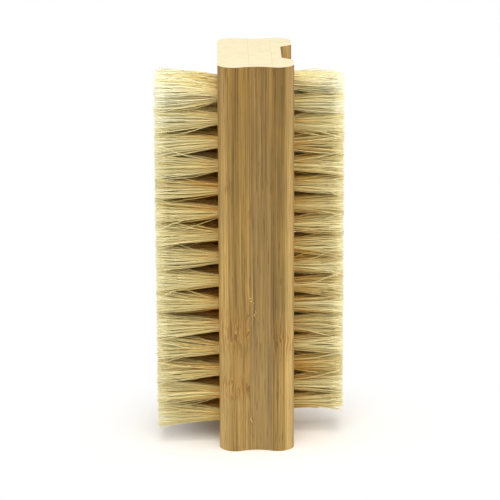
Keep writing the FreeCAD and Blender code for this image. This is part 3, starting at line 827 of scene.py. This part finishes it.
def loose_fibre_lines(look):
    """Centre lines and radii of the fine fibres that lift off the sanded front. Each fibre is an arc along
    the grain: its lift is half a sine, its sideways swing a full one, and both are nothing at its ends."""
    rng = np.random.default_rng(FIBRE_SEED)
    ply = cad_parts["core_ply"]
    into = ply.matrix_world.inverted()
    ahead = Vector((0.0, 1.0, 0.0))
    feet = []
    for across, height in FIBRE_PLACES:
        start = Vector((across, CAD_BOX[0].y - FIBRE_START, height))
        found, point, _, _ = ply.ray_cast(into @ start, into.to_3x3() @ ahead)
        if not found:
            raise RuntimeError("a loose fibre has no bamboo under it")
        feet.extend([ply.matrix_world @ point] * look.fibres_at_a_place)
    feet = np.array(feet)
    many = len(feet)
    share = np.linspace(0.0, 1.0, FIBRE_RINGS)
    length = look.fibre_length * rng.uniform(*FIBRE_LENGTHS, (many, 1))
    swing = rng.normal(0.0, FIBRE_SWING, (many, 1)) * look.fibre_length
    lift = rng.uniform(*FIBRE_LIFTS, (many, 1)) * look.fibre_length
    lines = np.repeat(feet[:, None], FIBRE_RINGS, axis=1)
    lines[..., 0] += swing * np.sin(share * math.tau)
    lines[..., 1] -= lift * np.sin(share * math.pi)
    lines[..., 2] += length * (share - 0.5)
    return lines, np.full((many, FIBRE_RINGS), 0.5 * look.fibre_thickness)


def wear(node, material):
    """Gives a CAD node its finish"""
    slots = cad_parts[node].material_slots
    if not slots:
        raise RuntimeError(f"{node} has no material slot")
    for slot in slots:
        slot.material = material


class NAILBRUSH_OT_block(bpy.types.Operator):
    """Gives the three glued plies their bamboo"""

    bl_idname = "nail_brush.block"
    bl_label = "Bamboo block"

    def execute(self, context):
        look = context.scene.nail_brush_block
        low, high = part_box("core_ply")
        scrub_knuckles = [(middle * high.z, half * high.z) for middle, half in SCRUB_KNUCKLES]
        nail_knuckles = [(middle * high.z, half * high.z) for middle, half in NAIL_KNUCKLES]
        wear("scrub_side_ply", bamboo(
            "scrub_side_bamboo", look.scrub_tone, look, [low.x],
            scrub_knuckles, SCRUB_VEINS, PLAIN_RIM, SCRUB_SHIFT))
        wear("core_ply", bamboo(
            "core_bamboo", look.core_tone, look, [low.x, high.x],
            [], [], PLAIN_RIM, CORE_SHIFT))
        wear("nail_side_ply", bamboo(
            "nail_side_bamboo", look.nail_tone, look, [high.x],
            nail_knuckles, [], NAIL_RIM, NAIL_SHIFT))
        return {"FINISHED"}


class NAILBRUSH_OT_fibres(bpy.types.Operator):
    """Lifts a few fine fibres off the sanded front"""

    bl_idname = "nail_brush.fibres"
    bl_label = "Loose fibres"

    def execute(self, context):
        look = context.scene.nail_brush_block
        tone = shade(look.core_tone, look.fibre_paleness)
        pale = bamboo("loose_fibre", tone, look, [], [], [], PLAIN_RIM, FIBRE_SHIFT)
        points, faces = tubes(*loose_fibre_lines(look))
        new_piece("loose_fibres", points, faces, pale)
        return {"FINISHED"}


class NAILBRUSH_OT_bristles(bpy.types.Operator):
    """Fills the bores of both fields with loose bristles"""

    bl_idname = "nail_brush.bristles"
    bl_label = "Bristle tufts"

    def execute(self, context):
        look = context.scene.nail_brush_bristle
        material = bristle(look)
        for number, node in enumerate(SCRUB_ROWS):
            is_inner = 0 < number < len(SCRUB_ROWS) - 1
            # painted shade: the inner rows are shifted to ochre
            row_shade = -look.inner_row_shade if is_inner else 0.0
            tuft_row(node, look.scrub_tufts, -1, row_shade, look.held, material, SCRUB_SEED + number)
        for number, node in enumerate(NAIL_ROWS):
            # only the first row stays narrow, so that the second shows through its gaps
            held = 0.0 if number else look.held
            # painted shade: the groove's rows are shifted to ochre
            tuft_row(node, look.nail_tufts, 1, -look.groove_row_shade, held, material, NAIL_SEED + number)
        return {"FINISHED"}


class NAILBRUSH_OT_anchors(bpy.types.Operator):
    """Gives the flat-wire anchors in the bores their steel"""

    bl_idname = "nail_brush.anchors"
    bl_label = "Anchor wire"

    def execute(self, context):
        material = drawn_wire()
        for node in ANCHOR_ROWS:
            wear(node, material)
        return {"FINISHED"}


def seen_rays(finish):
    """1 for the rays that show a picture of what they hit, from the camera or by way of a mirror or glass"""
    path = finish.node("ShaderNodeLightPath").outputs
    mirrored = finish.math("MAXIMUM", path["Is Glossy Ray"], path["Is Transmission Ray"])
    return finish.math("MAXIMUM", path["Is Camera Ray"], mirrored)


def plain_floor(look):
    """A pale floor that keeps the brush's shadow near it and turns to even white further out"""
    finish = Finish(bpy.data.materials.new("plain_floor"))
    place = finish.node("ShaderNodeTexCoord").outputs["Object"]
    away = finish.node("ShaderNodeVectorMath", [(0, place)], operation="LENGTH").outputs["Value"]
    seen = seen_rays(finish)
    # the warm tint seen on the floor is painted bounce light in the brush's shadow
    tone = finish.mix(seen, colour(look.floor_bounce), colour(look.floor_tone_and_warm_shadow))
    lit = finish.node("ShaderNodeBsdfDiffuse", [("Color", tone)]).outputs[0]
    white = finish.node("ShaderNodeEmission", [("Color", colour(grey(1.0)))]).outputs[0]
    far = finish.math("MULTIPLY", seen, finish.between(away, *FLOOR_FADE))
    return finish.surface(finish.node("ShaderNodeMixShader", [(0, far), (1, lit), (2, white)]).outputs[0])


def even_light(look):
    """A world that lights softly from all round and shows as white"""
    finish = Finish(bpy.data.worlds.new("even_light"))
    strength = finish.between(seen_rays(finish), 0.0, 1.0, look.ambient, 1.0)
    shader = finish.node("ShaderNodeBackground", [("Color", colour(grey(1.0))), ("Strength", strength)])
    return finish.surface(shader.outputs[0], "ShaderNodeOutputWorld")


def new_floor(look):
    """A wide square floor that the brush stands on"""
    corners = FLOOR_REACH * np.array([[-1, -1, 0], [1, -1, 0], [1, 1, 0], [-1, 1, 0]])
    mesh = bpy.data.meshes.new("floor")
    mesh.from_pydata(corners.tolist(), [], [(0, 1, 2, 3)])
    mesh.materials.append(plain_floor(look))
    floor = bpy.data.objects.new("floor", mesh)
    bpy.context.scene.collection.objects.link(floor)


def aimed(name, data, place, aim):
    """A lamp or camera that stands at a place and faces a point"""
    made = bpy.data.objects.new(name, data)
    made.location = place
    made.rotation_mode = "QUATERNION"
    made.rotation_quaternion = (Vector(aim) - Vector(place)).to_track_quat("-Z", "Y")
    bpy.context.scene.collection.objects.link(made)
    return made


def soft_lamp(name, place, size, power):
    """A square lamp that faces the middle of the brush"""
    data = bpy.data.lights.new(name, "AREA")
    data.size = size
    data.energy = power
    aimed(name, data, place, LAMP_AIM).visible_camera = False


def new_camera(look):
    """A camera that is turned about its line of sight"""
    data = bpy.data.cameras.new("camera")
    data.sensor_width = SENSOR_WIDTH
    data.lens = look.lens
    camera = aimed("camera", data, look.camera_place, look.camera_aim)
    roll = Quaternion((0.0, 0.0, 1.0), look.camera_roll)
    camera.rotation_quaternion = camera.rotation_quaternion @ roll
    return camera


class NAILBRUSH_OT_stage(bpy.types.Operator):
    """Sets the floor, the lamps and the camera"""

    bl_idname = "nail_brush.stage"
    bl_label = "Stage"

    def execute(self, context):
        scene = context.scene
        look = scene.nail_brush_stage
        scene.view_settings.view_transform = "Standard"
        new_floor(look)
        scene.world = even_light(look)
        for name, power, place, size in LAMPS:
            soft_lamp(name, place, size, getattr(look, power))
        scene.camera = new_camera(look)
        return {"FINISHED"}


class NAILBRUSH_PT_sidebar(bpy.types.Panel):
    """Lists the brush's sizes, colours and steps"""

    bl_label = "Nail brush"
    bl_idname = "NAILBRUSH_PT_sidebar"
    bl_space_type = "VIEW_3D"
    bl_region_type = "UI"
    bl_category = SIDEBAR

    def draw(self, context):
        for group, steps in PANEL_GROUPS:
            look = getattr(context.scene, group)
            box = self.layout.box()
            for name in look.__annotations__:
                box.prop(look, name)
            for step in steps:
                box.operator(step.bl_idname)


GROUPS = (
    ("nail_brush_block", NailBrushBlock),
    ("nail_brush_bristle", NailBrushBristle),
    ("nail_brush_stage", NailBrushStage),
)
PANEL_GROUPS = (
    ("nail_brush_block", (NAILBRUSH_OT_block, NAILBRUSH_OT_fibres)),
    ("nail_brush_bristle", (NAILBRUSH_OT_bristles, NAILBRUSH_OT_anchors)),
    ("nail_brush_stage", (NAILBRUSH_OT_stage,)),
)
STEPS = tuple(step for _, steps in PANEL_GROUPS for step in steps)


def register():
    for name, group in GROUPS:
        bpy.utils.register_class(group)
        setattr(bpy.types.Scene, name, bpy.props.PointerProperty(type=group))
    for step in STEPS:
        bpy.utils.register_class(step)
    bpy.utils.register_class(NAILBRUSH_PT_sidebar)


def unregister():
    bpy.utils.unregister_class(NAILBRUSH_PT_sidebar)
    for step in reversed(STEPS):
        bpy.utils.unregister_class(step)
    for name, group in reversed(GROUPS):
        delattr(bpy.types.Scene, name)
        bpy.utils.unregister_class(group)


def main():
    register()
    bpy.ops.nail_brush.block()
    bpy.ops.nail_brush.fibres()
    bpy.ops.nail_brush.bristles()
    bpy.ops.nail_brush.anchors()
    bpy.ops.nail_brush.stage()


if __name__ == "__main__":
    main()
